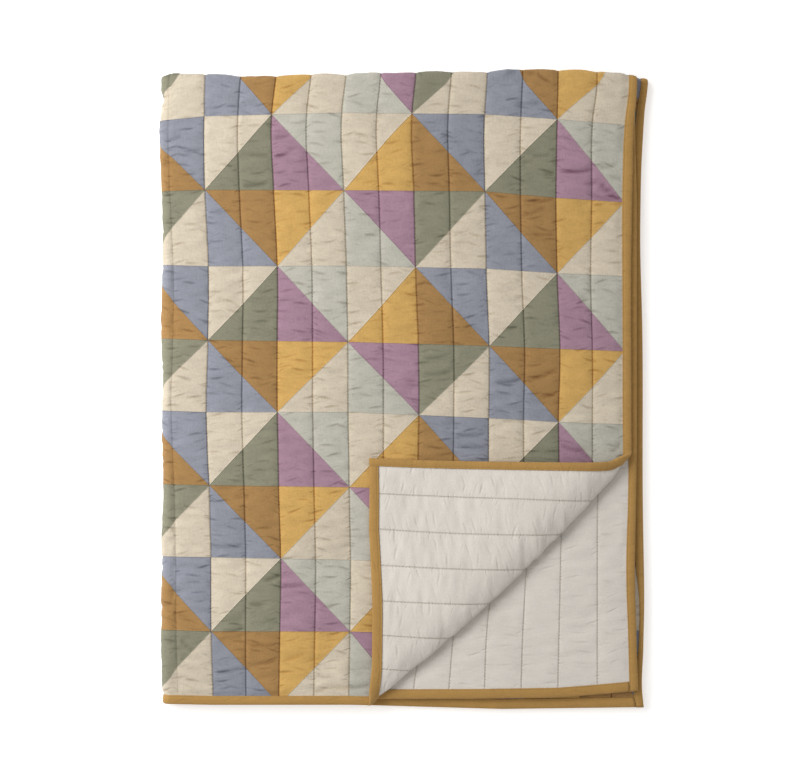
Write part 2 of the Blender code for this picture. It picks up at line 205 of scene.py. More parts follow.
def rollLength(along):  # the roll is tight at the foot and slack at the side
    return throughPoints(along, (crease["foot"], folds["rollMiddle"], crease["side"]), folds["roll"])


def rollShape():  # the roll's section for one unit of cloth: share, bend, out and up
    share = np.linspace(0, 1, 401)
    tip, width = folds["rollTip"]
    turned = np.tanh((share - tip) / width)
    turned = (turned - turned[0]) / (turned[-1] - turned[0])
    behind = smoothStep((share - tip) / (1 - tip))
    bend = math.pi * ((1 - folds["rollBack"]) * turned + folds["rollBack"] * behind)
    out, up = (np.concatenate(([0], np.cumsum((part[1:] + part[:-1]) / 2 * share[1])))
               for part in (np.cos(bend), np.sin(bend)))
    return share, bend, out, up


def creaseStart(along):  # where the corner starts to lift
    place = np.clip(along, crease["foot"], crease["side"])
    edge = crease["reach"] - crease["bow"] * (place - crease["middle"]) ** 2
    edge -= crease["sideDrop"] * smoothStep((place - crease["side"]) / crease["sideBend"] + 1)
    return edge - rollShape()[2].max() * rollLength(along) - cloth["backCrown"]


def toCrease(x, y):  # along the crease, and past its start in lengths of the roll
    along = (x + y) * rootHalf
    return along, ((x - y) * rootHalf - creaseStart(along)) / rollLength(along)


def turnCorner(along, turn):  # rolls the corner up and over; a middle point and its normal
    length = rollLength(along)
    share, bend, outward, upward = rollShape()
    angle = np.interp(turn, share, bend)
    beyond = np.maximum(turn - 1, 0) * length
    settle = (upward[-1] * length - folds["flapHeight"]) * smoothStep(beyond / folds["flapSettle"])
    out = creaseStart(along) + (np.minimum(turn, 0) + np.interp(turn, share, outward)) * length - beyond
    height = np.interp(turn, share, upward) * length - settle
    point = np.stack(((along + out) * rootHalf, (along - out) * rootHalf, height), axis=1)
    lean = -np.sin(angle) * rootHalf
    return point, np.stack((lean, -lean, np.cos(angle)), axis=1)


def foldTop(point, normal):  # the head half turns down and back under the front
    radius = folds["top"]
    quarter = radius * math.pi / 2
    reach = point[:, 1] + quarter
    angle = np.clip(reach / radius, 0, math.pi)
    beyond = np.maximum(reach - 2 * quarter, 0)
    past = (reach > 0)[:, None]
    sine, cosine = np.sin(angle), np.cos(angle)
    bent = np.stack((point[:, 0], radius * sine - quarter - beyond, radius * (cosine - 1)), axis=1)
    turned = np.stack((0 * angle, sine, cosine), axis=1)
    return np.where(past, bent, point), np.where(past, turned, normal)


def foldSide(point, normal, flatAlong):  # the left half turns under; each layer keeps its own radius
    axis = -folds["outer"]
    middle = (folds["inner"] + folds["outer"]) / 2
    side = np.clip(-flatAlong / folds["slipReach"], -1, 1)
    own = middle + (folds["outer"] - middle) * side * (3 - side * side) / 2
    radius = point[:, 2] - axis
    quarter = own * math.pi / 2
    reach = quarter - point[:, 0]
    angle = np.clip(reach / own, 0, math.pi)
    beyond = np.maximum(reach - 2 * quarter, 0)
    past = (reach > 0)[:, None]
    sine, cosine = np.sin(angle), np.cos(angle)
    bent = np.stack((beyond - radius * sine, point[:, 1], axis + radius * cosine), axis=1)
    turned = np.stack((normal[:, 0] * cosine - normal[:, 2] * sine, normal[:, 1],
                       normal[:, 2] * cosine + normal[:, 0] * sine), axis=1)
    still = point - quarter[:, None] * (1, 0, 0)
    return np.where(past, bent, still), np.where(past, turned, normal)


def settleOnFloor(point):  # into the frame's place, with the outline's waves
    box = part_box("quilted_patchwork")
    crown = cloth["faceCrown"]
    x = point[:, 0] + box[0].x + folds["outer"] + crown
    y = point[:, 1] + box[1].y - crown - folds["top"] * (1 - math.pi / 2)
    z = point[:, 2] + 2 * folds["outer"] + crown - cloth["floorPress"]
    sideFade = 1 - smoothStep((x - box[0].x) / waveDepth)
    topFade = 1 - smoothStep((box[1].y - y) / waveDepth)
    waved = x + throughPoints(y, *zip(*leftWave)) * mm * sideFade
    raised = y + throughPoints(x, *zip(*topWave)) * mm * topFade
    return np.stack((waved, raised, np.maximum(z, 0)), axis=1)


# Deep creases that lie across the front, in mm from the quilt's middle: both ends and the depth.
frontCreases = (
    (210, 300, 256, 302, 2.0), (244, 282, 263, 285, 1.2), (263, 285, 295, 260, 1.8),
    (256, 266, 294, 262, 1.2), (173, 320, 197, 322, 1.1), (159, 310, 172, 314, 0.9),
    (186, 295, 204, 298, 1.2), (172, 259, 204, 262, 1.3), (159, 239, 191, 251, 1.0),
    (173, 214, 204, 215, 1.1), (151, 392, 185, 394, 1.0), (264, 304, 287, 309, 1.2),
    (276, 294, 295, 290, 1.1), (123, 12, 158, 17, 1.5), (168, 15, 208, 32, 1.2),
    (187, -7, 208, -1, 1.3), (71, -59, 110, -57, 1.2), (72, -73, 112, -75, 1.1),
    (135, 82, 154, 90, 1.0), (212, -73, 241, -81, 1.6), (241, -81, 256, -92, 1.5),
    (279, -84, 293, -70, 1.7), (25, 45, 62, 51, 1.1), (25, 24, 62, 27, 1.0),
    (-1, 17, 16, 14, 1.2), (-192, -257, -169, -249, 1.7), (-213, -288, -192, -290, 1.1),
    (-247, -326, -219, -321, 1.3), (-167, -263, -138, -263, 1.3), (-121, -284, -98, -294, 1.2),
    (-213, -344, -175, -343, 1.1), (-200, -370, -173, -364, 1.1), (-167, -366, -136, -355, 1.0),
    (-257, -382, -226, -376, 1.1), (-260, -210, -220, -208, 1.1), (-304, -338, -287, -353, 1.2),
    (-123, -409, -104, -401, 1.3), (-104, -401, -47, -399, 1.6), (-322, 341, -303, 348, 1.1),
    (-300, 329, -277, 327, 1.3), (-213, 322, -185, 322, 1.2), (-220, 280, -187, 284, 1.6),
    (-178, 345, -158, 348, 1.2), (-177, 317, -151, 331, 1.2), (-264, 245, -243, 244, 1.1),
)
frontCrease = {
    "width": 0.0024,
    "bow": 0.06,  # how far each bends aside, as a share of its length
    "fade": 0.3,  # an end fades over this share of its length, from this start
    "lead": 0.35,
    "deepest": 0.8,  # never deeper than this share of the cloth's upper half
}


def creaseDepth(x, y):  # how deep the nearest crease is
    depth = np.zeros_like(x)
    fade, lead = frontCrease["fade"], frontCrease["lead"]
    for *tips, deep in frontCreases:
        ax, ay, bx, by = (part * mm for part in tips)
        length = math.hypot(bx - ax, by - ay)
        share = ((x - ax) * (bx - ax) + (y - ay) * (by - ay)) / length ** 2
        bow = frontCrease["bow"] * length * np.sin(math.pi * np.clip(share, 0, 1))
        aside = ((x - ax) * (by - ay) - (y - ay) * (bx - ax)) / length - bow
        ends = smoothStep(share / fade + lead) * smoothStep((1 - share) / fade + lead)
        depth = np.maximum(depth, deep * mm * ends * np.exp(-(aside / frontCrease["width"]) ** 2))
    return depth


def folded(along, turn, height):  # where a laid-out point ends up, and how deep its crease is
    point, normal = turnCorner(along, turn)
    flatAlong = point[:, 1]
    front = (turn < 0) & (flatAlong < 0) & (point[:, 0] > 0) & (height > 0)
    point, normal = foldTop(point, normal)
    point, normal = foldSide(point, normal, flatAlong)
    place = settleOnFloor(point + height[:, None] * normal)
    creased = np.where(front, creaseDepth(place[:, 0], place[:, 1]), 0)
    place[:, 2] -= np.minimum(creased, np.maximum(frontCrease["deepest"] * height, 0))
    return place, creased / mm


cloth = {
    "faceStitched": 0.001,  # patchwork side at a stitch line, above the middle
    "faceCrown": 0.0026,  # patchwork side between stitch lines
    "backStart": -0.0003,
    "backStitched": -0.0013,
    "backCrown": -0.0019,
    "ramp": 0.009,  # slope down to the binding
    "floorPress": 0.0005,  # how far the undermost puffs are pressed flat
    "puffPower": 3.0,  # how broad the top of a channel's puff is
    "puffVaries": 0.12,
    "puffSize": (0.05, 0.04),
    "pucker": 0.0012,  # ripples across the quilting lines
    "puckerSize": (0.026, 0.0075),
    "puckerReach": 0.014,
    "puckerLeast": 0.35,  # the share left between two lines, and on a line itself
    "lineHold": 0.004,  # how far from a line its stitches hold the cloth
    "wrinkle": 0.0015,  # broader folds, also across them
    "wrinkleSize": (0.034, 0.0135),
    "wrinkleLevel": 0.45,  # keeps the wrinkled cloth at its own height
    "slant": 0.004,  # how far ripples and wrinkles wander along the quilt
    "slantSize": (0.05, 0.05),
    "breakSize": (0.03, 0.024),  # where the wrinkles break off
    "breakStart": 0.25,
    "breakSpan": 0.7,
    "backPucker": 0.0008,
    "backWrinkle": 0.0008,
    "backLevel": 0.3,
    "reach": (0.8, 1.0),  # half of what the random hills cover, across and along
    "seeds": {"puff": 11, "slant": 17, "break": 19, "wrinkle": 5, "pucker": 3, "backPucker": 7},
}


def hills(x, y, size, seed):  # smooth random hills, -1 to 1, each about one size apart
    random = np.random.default_rng(seed)
    reach = cloth["reach"]
    lattice = random.uniform(-1, 1, [int(2 * far / one) + 4 for far, one in zip(reach, size)])
    gx, gy = (x + reach[0]) / size[0], (y + reach[1]) / size[1]
    column, row = gx.astype(int), gy.astype(int)
    tx, ty = smoothStep(gx - column), smoothStep(gy - row)
    low = lattice[column, row] * (1 - tx) + lattice[column + 1, row] * tx
    high = lattice[column, row + 1] * (1 - tx) + lattice[column + 1, row + 1] * tx
    return low * (1 - ty) + high * ty


def patchPlace(x, y):  # the place in patches: whole numbers fall on the seams
    front = 1 + (x - quilt["firstSeam"]) / quilt["frontColumn"]
    back = (x + firstBackSeam) / quilt["backColumn"]
    return np.where(x > -firstBackSeam, front, back), (firstHeadSeam - y) / quilt["rowPitch"]


def outerHeight(x, y, side):  # the outer surface above the middle: side 1 is the patchwork, -1 the back
    seeds = cloth["seeds"]
    column, _ = patchPlace(x, y)
    share = 2 * column - np.floor(2 * column)
    lineDistance = np.minimum(share, 1 - share) * quilt["frontColumn"] / 2
    inset = np.minimum.reduce((rightEdge - x, x - leftEdge, headEdge - y, y - footEdge)) - bindingWidth
    edgeFade = smoothStep(inset / cloth["ramp"])
    uneven = 1 - cloth["puffVaries"] + cloth["puffVaries"] * hills(x, y, cloth["puffSize"], seeds["puff"])
    puff = (1 - np.abs(2 * share - 1) ** cloth["puffPower"]) * uneven
    least = cloth["puckerLeast"]
    nearLine = least + (1 - least) * np.exp(-lineDistance / cloth["puckerReach"])
    held = least + (1 - least) * smoothStep(lineDistance / cloth["lineHold"])
    slanted = y + cloth["slant"] * hills(x, y, cloth["slantSize"], seeds["slant"])
    broken = hills(x, y, cloth["breakSize"], seeds["break"]) + cloth["breakStart"]
    creased = (1 - np.abs(hills(x, slanted, cloth["wrinkleSize"], seeds["wrinkle"]))) ** 2
    creased *= smoothStep(broken / cloth["breakSpan"])
    if side > 0:
        base, crown = cloth["faceStitched"], cloth["faceCrown"]
        ripple = cloth["pucker"] * hills(x, slanted, cloth["puckerSize"], seeds["pucker"]) * nearLine
        ripple += cloth["wrinkle"] * (cloth["wrinkleLevel"] - creased)
    else:
        base, crown = -cloth["backStitched"], -cloth["backCrown"]
        ripple = cloth["backPucker"] * hills(x, slanted, cloth["puckerSize"], seeds["backPucker"])
        ripple += cloth["backWrinkle"] * (cloth["backLevel"] - creased)
    return base + ((crown - base) * puff + ripple * held) * edgeFade


stepping = {
    # Where a channel is divided, as shares from one quilting line to the next.
    "channel": (0.0, 0.03, 0.085, 0.17, 0.28, 0.41, 0.59, 0.72, 0.83, 0.915, 0.97),
    "hiddenChannel": (0.0, 0.08, 0.3, 0.7, 0.92),
    "frontRow": 0.0026,
    "headRow": 0.004,
    "hiddenRow": 0.01,
    "beneathRow": 0.01,  # rows kept where the half beneath shows only its edges
    "sideFold": (0.018, 0.0018),  # half the band over the side fold, and its steps
    "topFold": (0.0072, 0.0009),
    "innerRow": 0.048,
    "lineClear": 0.02,  # no quilting line is kept so near a side edge
    "besideBinding": 0.004,
    "topGap": (-0.008, 0.01),  # left to the top fold's own steps
    "headShows": 0.42,  # the head half shows beyond this, past the turned corner
    "turned": 0.3,  # the corner is turned back beyond this
    "pastFold": (0.03, 0.01),  # out of sight from here, past the side and the top fold
    # Where the cloth is cut along the turned corner's roll, in lengths of the roll.
    "roll": (0, 0.03, 0.06, 0.085, 0.11, 0.135, 0.16, 0.19, 0.23, 0.3, 0.4, 0.52, 0.66, 0.82, 1, 1.5, 2.2, 3),
}


def stitchLines():  # quilting lines: every column seam and every patch's middle
    half = quilt["frontColumn"] / 2
    front = [quilt["firstSeam"] + half * count for count in range(-2, 2 * quilt["frontColumns"] + 1)]
    half = quilt["backColumn"] / 2
    back = [-firstBackSeam - half * count for count in range(1, 2 * quilt["backColumns"] + 1)]
    return sorted(back + front)


def band(reach, step):  # even lines over a fold
    count = round(reach / step)
    return [number * step for number in range(-count, count + 1)]


def sheetLines():  # where the sheet is divided, finely where it shows
    sideBand, topBand = band(*stepping["sideFold"]), band(*stepping["topFold"])
    clear = stepping["lineClear"]
    lines = [line for line in stitchLines() if leftEdge + clear < line < rightEdge - clear]
    ends = [leftEdge + sheetInset] + lines + [rightEdge - sheetInset]
    across = [ends[-1]]
    for left, right in zip(ends, ends[1:]):
        steps = stepping["channel"] if right > 0 else stepping["hiddenChannel"]
        across += [left + share * (right - left) for share in steps]
    across += [edge - math.copysign(inset, edge) for edge in (leftEdge, rightEdge)
               for inset in (bindingWidth, bindingWidth + stepping["besideBinding"])]
    frontEnd, hiddenStart = stepping["topGap"]
    head = stepping["headShows"]
    headRows = round((headEdge - head) / stepping["headRow"])
    along = [*np.arange(footEdge + sheetInset, frontEnd, stepping["frontRow"]),
             *np.arange(hiddenStart, head, stepping["hiddenRow"]),
             *np.linspace(head, headEdge - sheetInset, headRows)]
    across = [place for place in across if abs(place) > sideBand[-1]] + sideBand
    along = [place for place in along if abs(place) > topBand[-1]] + topBand
    return sorted(across), sorted(along)


def keptLines(places, wanted, fold):  # the lines that hidden cloth keeps: ends, a fold's and those wanted
    kept = {places[0], places[-1]} | {place for place in places if abs(place) <= fold[0] + 0.1 * mm}
    return kept | {min(places, key=lambda place: abs(place - want)) for want in wanted}


def covered(x, y, side):  # whether this side of the cloth lies inside the folds
    pastSide, pastTop = stepping["pastFold"]
    under = x < -pastSide
    if side > 0:
        return y > pastTop or under
    if -stepping["turned"] < y < stepping["headShows"]:
        return True
    return (y < -pastTop and pastSide < x < stepping["turned"]) or (under and y > pastTop)


def flatSheet(side):  # a closed flat sheet: its fine outer side, and a plain inner one
    across, along = sheetLines()
    columns, rows = len(across) - 1, len(along) - 1
    bm = bmesh.new()
    bmesh.ops.create_grid(bm, x_segments=columns, y_segments=rows, size=0.5)
    inner = 0.0 if side > 0 else cloth["backStart"]
    for vert in bm.verts:
        column, row = round((vert.co.x + 0.5) * columns), round((vert.co.y + 0.5) * rows)
        vert.co = (across[column], along[row], inner)
    grown = bmesh.ops.extrude_face_region(bm, geom=bm.faces[:], use_keep_orig=True)["geom"]
    outer = [part for part in grown if isinstance(part, bmesh.types.BMVert)]
    x, y = np.array([vert.co[:2] for vert in outer]).T
    for vert, level in zip(outer, outerHeight(x, y, side)):
        vert.co.z = level * side
    keptX = keptLines(across, stitchLines(), stepping["sideFold"])
    keptY, beneathY = (keptLines(along, np.arange(footEdge, headEdge, stepping[row]), stepping["topFold"])
                       for row in ("innerRow", "beneathRow"))
    merged = []
    for edge in bm.edges:
        a, b = edge.verts[0].co, edge.verts[1].co
        upright = abs(a.x - b.x) < tiny
        inside = abs(a.z - inner) < tiny and abs(b.z - inner) < tiny
        if edge.is_boundary or not (inside or (not upright and covered((a.x + b.x) / 2, a.y, side))):
            continue
        place, kept = (a.x, keptX) if upright else (a.y, keptY if inside else beneathY)
        if not any(abs(place - line) < nearby for line in kept):
            merged.append(edge)
    bmesh.ops.dissolve_edges(bm, edges=merged, use_verts=True)
    bmesh.ops.recalc_face_normals(bm, faces=bm.faces[:])
    return bm


def layPatches(bm):  # the UV map counts patches, on the flat cloth
    layer = bm.loops.layers.uv.new("patches")
    for face in bm.faces:
        for loop in face.loops:
            loop[layer].uv = patchPlace(np.float64(loop.vert.co.x), np.float64(loop.vert.co.y))


def foldPiece(bm):  # drift, cuts along the crease's roll, and the folds
    # each point's crease depth, kept for the painted shade along the creases
    creased = bm.verts.layers.float.new("creaseDepth")
    place = np.array([vert.co for vert in bm.verts])
    for vert, along, turn in zip(bm.verts, *toCrease(*drift(place[:, 0], place[:, 1]))):
        vert.co.x, vert.co.y = along, turn
    for step in stepping["roll"]:
        near = [face for face in bm.faces if any(abs(vert.co.y - step) < 1.5 for vert in face.verts)]
        parts = {part for face in near for part in (face, *face.edges, *face.verts)}
        bmesh.ops.bisect_plane(bm, geom=list(parts), dist=nearby, plane_co=(0, step, 0), plane_no=(0, 1, 0))
    place = np.array([vert.co for vert in bm.verts])
    place, depth = folded(place[:, 0], place[:, 1], place[:, 2])
    for vert, co, deep in zip(bm.verts, place, depth):
        vert.co = co
        vert[creased] = deep


def placeObject(name, data):
    placed = bpy.data.objects.new(name, data)
    bpy.context.scene.collection.objects.link(placed)
    return placed


def finishPiece(bm, name, material, node):
    bmesh.ops.triangulate(bm, faces=[face for face in bm.faces if len(face.verts) > 4])
    mesh = bpy.data.meshes.new(name)
    bm.to_mesh(mesh)
    bm.free()
    mesh.materials.append(material)
    mesh.polygons.foreach_set("use_smooth", [True] * len(mesh.polygons))
    piece = placeObject(name, mesh)
    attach(piece, "root")
    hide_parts(node)
    print(name, len(mesh.polygons), "faces")
    return piece


def linearColour(code):  # sRGB hex to linear
    parts = [int(code[start:start + 2], 16) / 255 for start in (1, 3, 5)]
    return [part / 12.92 if part <= 0.04045 else ((part + 0.055) / 1.055) ** 2.4 for part in parts] + [1.0]


def fillSockets(tree, node, inputs):
    for socket, value in inputs.items():
        if isinstance(value, bpy.types.NodeSocket):
            tree.links.new(value, node.inputs[socket])
        else:
            node.inputs[socket].default_value = value


def addNode(tree, kind, settings, inputs, output=0):  # adds a node, sets and links it; gives its output
    node = tree.nodes.new("ShaderNode" + kind)
    for name, value in settings.items():
        setattr(node, name, value)
    fillSockets(tree, node, inputs)
    return node.outputs[output]


# Settings that many nodes share.
multiplied = {"data_type": "RGBA", "blend_type": "MULTIPLY"}
times = {"operation": "MULTIPLY"}
timesPlus = {"operation": "MULTIPLY_ADD"}
unsigned = {"operation": "ABSOLUTE"}
eased = {"interpolation_type": "SMOOTHSTEP"}
falling = {"To Min": 1.0, "To Max": 0.0}


def newMaterial(name):
    material = bpy.data.materials.new(name)
    material.use_nodes = True
    return material, material.node_tree, material.node_tree.nodes["Principled BSDF"]


patchColours = {
    "cream": "#cbbfab",
    "blue": "#8b8d97",
    "ochre": "#a17c4c",
    "mustard": "#c8a05c",
    "sage": "#868470",
    "paleGreen": "#b6b3a7",
    "mauve": "#a07f8f",
}
# One repeat of the pattern, four columns by two rows: each patch's upper and lower triangle.
patchRepeat = (
    (("sage", "cream"), ("ochre", "blue"), ("mustard", "cream"), ("mauve", "paleGreen")),
    (("blue", "ochre"), ("cream", "sage"), ("paleGreen", "mauve"), ("cream", "mustard")),
)
patchUnit = quilt["rowPitch"] / mm  # one unit of the patches' map
lineGap = quilt["frontColumn"] / 2 / mm  # between two quilting lines
weave = {  # sizes in mm
    # Each noise: its size across and along, its detail, and its share of the shade and the height.
    # The yarn is drawn by its thick places, as single threads are too fine to show.
    "noises": (((14, 1.1), 2, 0.16, 0.10),  # thick places in the weft
               ((1.1, 14), 2, 0.16, 0.10),  # and in the warp
               ((3, 3), 3, 0.22, 0.12),  # washed-out flecks
               ((24, 11), 2, 0.20, 0)),  # uneven washing, a little longer across the quilting
    "fading": ((70, 70), 1, 0.10, 0),  # broad and faint, and the same on every cloth
    "crinkle": {"spacing": (32, 13), "reach": 16.5, "half": 2.6, "tilt": 0.34, "bow": 0.9},
    "fineCrinkle": {"spacing": (15, 7), "reach": 7.5, "half": 1.7, "tilt": 0.5, "bow": 0.9},
    "crinkleScatter": 0.9,
    "crinkleFaint": 0.15,  # the share of crinkles too faint to show
    "crinkleReach": 14,  # how far from a quilting line they thin out, and from what to what
    "crinkleShare": (0.8, 0.25),
    "groove": 1.7,  # half the dip that a quilting line pulls
    "firstEase": 0.65,  # how much less the line by the side fold pulls
    "seamWidth": 1,
    "ownShade": (0.95, 1.03),
    # How much painted shade each darkens the cloth by, and how it lies; a pressed seam stands up.
    "shade": {"groove": 0.90, "crinkle": 0.72, "crease": 0.42, "seam": 0.12, "plainCrinkle": 0.3},
    "raised": {"groove": -0.5, "crinkle": -0.9, "seam": 0.45},
    # the most painted shade any place takes
    "deepest": 0.95,
    "deepShade": (0.75, 0.22),  # the painted shade's colour: this share of the colour itself, and this on top of it
    "finish": {"Roughness": 0.88, "Specular IOR Level": 0.25, "Sheen Weight": 0.12, "Sheen Roughness": 0.5},
}


def patchworkColour(tree, coordinates):  # a place's cotton, that piece's own shade, and the nearest seam
    column = addNode(tree, "SeparateXYZ", {}, {0: coordinates})
    row = column.node.outputs["Y"]
    across, down = [addNode(tree, "Math", {"operation": "FRACT"}, {0: place}) for place in (column, row)]
    column, row = [addNode(tree, "Math", {"operation": "FLOOR"}, {0: place}) for place in (column, row)]
    both = addNode(tree, "Math", {"operation": "ADD"}, {0: column, 1: row})
    slant = addNode(tree, "Math", {"operation": "FLOORED_MODULO"}, {0: both, 1: 2})
    mirrored = addNode(tree, "Math", timesPlus, {0: across, 1: -2, 2: 1})
    across = addNode(tree, "Math", timesPlus, {0: slant, 1: mirrored, 2: across})
    diagonal = addNode(tree, "Math", {"operation": "ADD"}, {0: across, 1: down})
    lower = addNode(tree, "Math", {"operation": "GREATER_THAN"}, {0: diagonal, 1: 1})
    rows, columns = len(patchRepeat), len(patchRepeat[0])
    names = [name for line in patchRepeat for pair in line for name in pair]
    inRow = addNode(tree, "Math", {"operation": "FLOORED_MODULO"}, {0: column, 1: columns})
    ofRows = addNode(tree, "Math", {"operation": "FLOORED_MODULO"}, {0: row, 1: rows})
    number = addNode(tree, "Math", timesPlus, {0: inRow, 1: 2, 2: lower})
    number = addNode(tree, "Math", timesPlus, {0: ofRows, 1: 2 * columns, 2: number})
    share = 1 / len(names)
    share = addNode(tree, "Math", timesPlus, {0: number, 1: share, 2: share / 2})
    colour = addNode(tree, "ValToRGB", {}, {"Fac": share})
    stops = colour.node.color_ramp
    stops.interpolation = "CONSTANT"
    for place, name in enumerate(names):
        stop = stops.elements[place] if place < 2 else stops.elements.new(place / len(names))
        stop.position = place / len(names)
        stop.color = linearColour(patchColours[name])
    piece = addNode(tree, "CombineXYZ", {}, {"X": column, "Y": row, "Z": lower})
    own = addNode(tree, "TexWhiteNoise", {"noise_dimensions": "3D"}, {"Vector": piece})
    slanting = addNode(tree, "Math", {"operation": "SUBTRACT"}, {0: diagonal, 1: 1})
    slanting = addNode(tree, "Math", unsigned, {0: slanting})
    level = addNode(tree, "Math", {"operation": "PINGPONG"}, {0: down, 1: 0.5})
    level = addNode(tree, "Math", times, {0: level, 1: math.sqrt(2)})
    seam = addNode(tree, "Math", {"operation": "MINIMUM"}, {0: slanting, 1: level})
    return colour, own, seam


def quiltingGroove(tree, coordinates):  # 1 on a quilting line, less on the first, and the distance to one
    column = addNode(tree, "SeparateXYZ", {}, {0: coordinates})
    halves = addNode(tree, "Math", timesPlus, {0: column, 1: 2, 2: 0.5})
    share = addNode(tree, "Math", {"operation": "FRACT"}, {0: halves})
    away = addNode(tree, "Math", {"operation": "SUBTRACT"}, {0: share, 1: 0.5})
    away = addNode(tree, "Math", unsigned, {0: away})
    reach = weave["groove"] / lineGap
    line = addNode(tree, "MapRange", eased, {"Value": away, "From Max": reach, **falling})
    first = addNode(tree, "Math", {"operation": "COMPARE"}, {0: column, 1: 0.5, 2: 0.25})
    pull = addNode(tree, "Math", timesPlus, {0: first, 1: -weave["firstEase"], 2: 1})
    return addNode(tree, "Math", times, {0: line, 1: pull}), away


def strokes(tree, coordinates, kind):  # short separate dips, each with its own tilt, bow and depth
    length, spread = kind["spacing"]
    scale = (patchUnit / length, patchUnit / spread, 1)
    scaled = addNode(tree, "Mapping", {}, {"Vector": coordinates, "Scale": scale})
    cell = addNode(tree, "TexVoronoi", {"voronoi_dimensions": "2D"},
                   {"Vector": scaled, "Scale": 1.0, "Randomness": weave["crinkleScatter"]})
    nearest = cell.node.outputs["Position"]
    place = addNode(tree, "VectorMath", {"operation": "SUBTRACT"}, {0: scaled, 1: nearest})
    across = addNode(tree, "SeparateXYZ", {}, {0: place})
    aside = across.node.outputs["Y"]
    own = addNode(tree, "SeparateColor", {}, {0: cell.node.outputs["Color"]})
    deep, bent = own.node.outputs["Green"], own.node.outputs["Blue"]
    lean = kind["tilt"] * length / spread
    tilt = addNode(tree, "MapRange", {}, {"Value": own, "To Min": -lean, "To Max": lean})
    bow = addNode(tree, "MapRange", {}, {"Value": bent, "To Min": -kind["bow"], "To Max": kind["bow"]})
    slope = addNode(tree, "Math", timesPlus, {0: across, 1: bow, 2: tilt})
    aside = addNode(tree, "Math", timesPlus, {0: across, 1: slope, 2: aside})
    aside = addNode(tree, "Math", unsigned, {0: aside})
    across = addNode(tree, "Math", unsigned, {0: across})
    dip = addNode(tree, "MapRange", eased, {"Value": aside, "From Max": kind["half"] / spread, **falling})
    ends = addNode(tree, "MapRange", eased, {"Value": across, "From Max": kind["reach"] / length, **falling})
    deep = addNode(tree, "MapRange", {}, {"Value": deep, "From Min": weave["crinkleFaint"]})
    dip = addNode(tree, "Math", times, {0: dip, 1: ends})
    return addNode(tree, "Math", times, {0: dip, 1: deep})


def crinkles(tree, coordinates, away):  # most of them start at the quilting lines
    broad = strokes(tree, coordinates, weave["crinkle"])
    fine = strokes(tree, coordinates, weave["fineCrinkle"])
    reach = weave["crinkleReach"] / lineGap
    most, least = weave["crinkleShare"]
    near = addNode(tree, "MapRange", eased,
                   {"Value": away, "From Max": reach, "To Min": most, "To Max": least})
    fine = addNode(tree, "Math", times, {0: fine, 1: near})
    return addNode(tree, "Math", {"operation": "MAXIMUM"}, {0: broad, 1: fine})


# A quilt's cotton: painted shade darkens its dips towards a deeper tone of its colour, and its yarn is raised
# a little.
def finishCloth(tree, shader, coordinates, colour, shadeParts, heightParts, strength):
    value, height = 1.0, 0.0
    noises = [(size, detail, share * strength, raised) for size, detail, share, raised in weave["noises"]]
    for size, detail, share, raised in noises + [weave["fading"]]:
        scale = (patchUnit / size[0], patchUnit / size[1], 1)
        scaled = addNode(tree, "Mapping", {}, {"Vector": coordinates, "Scale": scale})
        noise = addNode(tree, "TexNoise", {"noise_dimensions": "2D"},
                        {"Vector": scaled, "Scale": 1.0, "Detail": detail})
        start = addNode(tree, "Math", {"operation": "ADD"}, {0: value, 1: -share / 2})
        value = addNode(tree, "Math", timesPlus, {0: noise, 1: share, 2: start})
        if raised:
            height = addNode(tree, "Math", timesPlus, {0: noise, 1: raised, 2: height})
    grey = addNode(tree, "CombineColor", {}, {0: value, 1: value, 2: value})
    colour = addNode(tree, "Mix", multiplied, {0: 1.0, 6: colour, 7: grey}, 2)
    # painted shade: each part given darkens the colour, up to the deepest share
    shade = 0.0
    for part, share in shadeParts:
        shade = addNode(tree, "Math", timesPlus, {0: part, 1: share, 2: shade})
    shade = addNode(tree, "Math", {"operation": "MINIMUM"}, {0: shade, 1: weave["deepest"]})
    factor, lift = weave["deepShade"]
    deep = addNode(tree, "VectorMath", timesPlus, {0: colour, 1: [factor] * 3, 2: [lift] * 3})
    colour = addNode(tree, "Mix", multiplied, {0: shade, 6: colour, 7: deep}, 2)
    for part, share in heightParts:
        height = addNode(tree, "Math", timesPlus, {0: part, 1: share, 2: height})
    bump = addNode(tree, "Bump", {}, {"Height": height, "Distance": mm, "Strength": 1.0})
    fillSockets(tree, shader, {"Base Color": colour, "Normal": bump, **weave["finish"]})


def piecedCotton():  # washed cotton patches, plain woven and pieced: soft and matt, a little flecked, with painted shade in its dips and along its seams
    material, tree, shader = newMaterial("piecedCotton")
    place = addNode(tree, "UVMap", {"uv_map": "patches"}, {})
    colour, own, seam = patchworkColour(tree, place)
    low, high = weave["ownShade"]
    own = addNode(tree, "MapRange", {}, {"Value": own, "To Min": low, "To Max": high})
    own = addNode(tree, "CombineColor", {}, {0: own, 1: own, 2: own})
    colour = addNode(tree, "Mix", multiplied, {0: 1.0, 6: colour, 7: own}, 2)
    line, away = quiltingGroove(tree, place)
    dips = crinkles(tree, place, away)
    # painted shade along the deep creases, from the cloth's own crease depth
    creased = addNode(tree, "Attribute", {"attribute_name": "creaseDepth"}, {}, 2)
    reach = weave["seamWidth"] * math.sqrt(2) / patchUnit
    ridge = addNode(tree, "MapRange", eased, {"Value": seam, "From Max": reach, **falling})
    parts = {"groove": line, "crinkle": dips, "crease": creased, "seam": ridge}
    shades, heights = ([(part, shares[kind]) for kind, part in parts.items() if kind in shares]
                       for shares in (weave["shade"], weave["raised"]))
    finishCloth(tree, shader, place, colour, shades, heights, 1.0)
    return material


